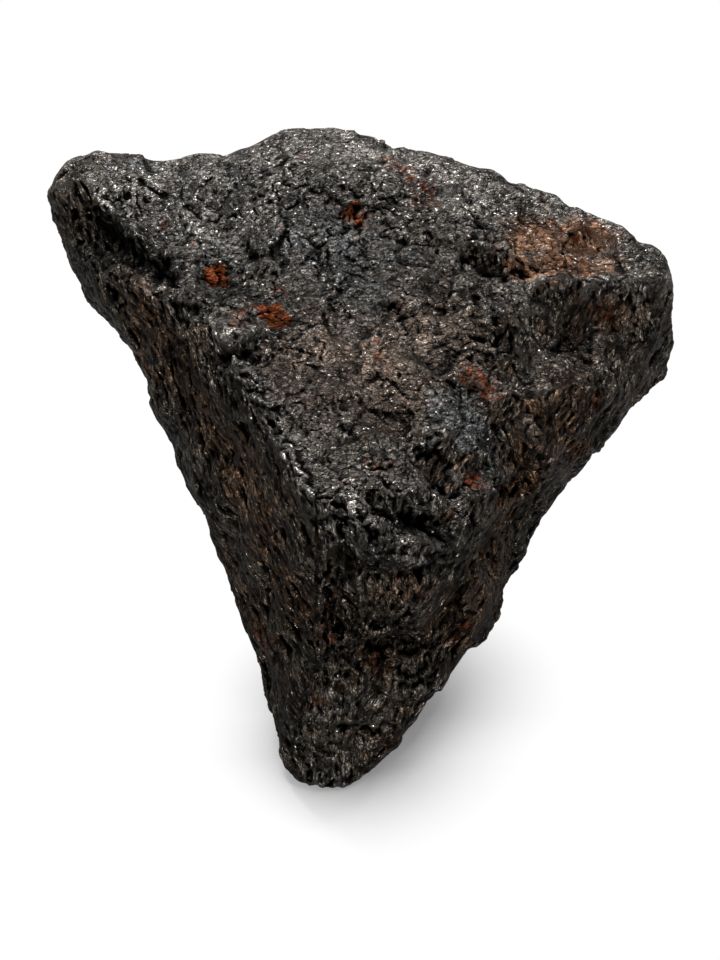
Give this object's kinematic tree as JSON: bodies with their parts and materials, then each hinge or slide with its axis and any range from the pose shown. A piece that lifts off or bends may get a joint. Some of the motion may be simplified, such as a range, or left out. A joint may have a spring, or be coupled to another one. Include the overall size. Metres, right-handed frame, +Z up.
{
  "type": "iron meteorite",
  "caption": "Wedge-shaped lump of dark, pitted nickel-iron with rusty patches, standing on a narrow worn foot as a display specimen.",
  "frame": {"origin": "on the surface it stands on, under the middle of the lump's box", "axes": "+X to the viewer's right along the lump's longest side, +Y to the back, +Z up, which is its shortest side"},
  "size_m": [0.0732, 0.0652, 0.0514],
  "materials": {
    "iron": "dark, half-metallic, rough and pitted, with a worn sheen on the edges and rust in patches"
  },
  "bodies": {
    "root": {"meteorite": "iron"}
  },
  "joints": []
}
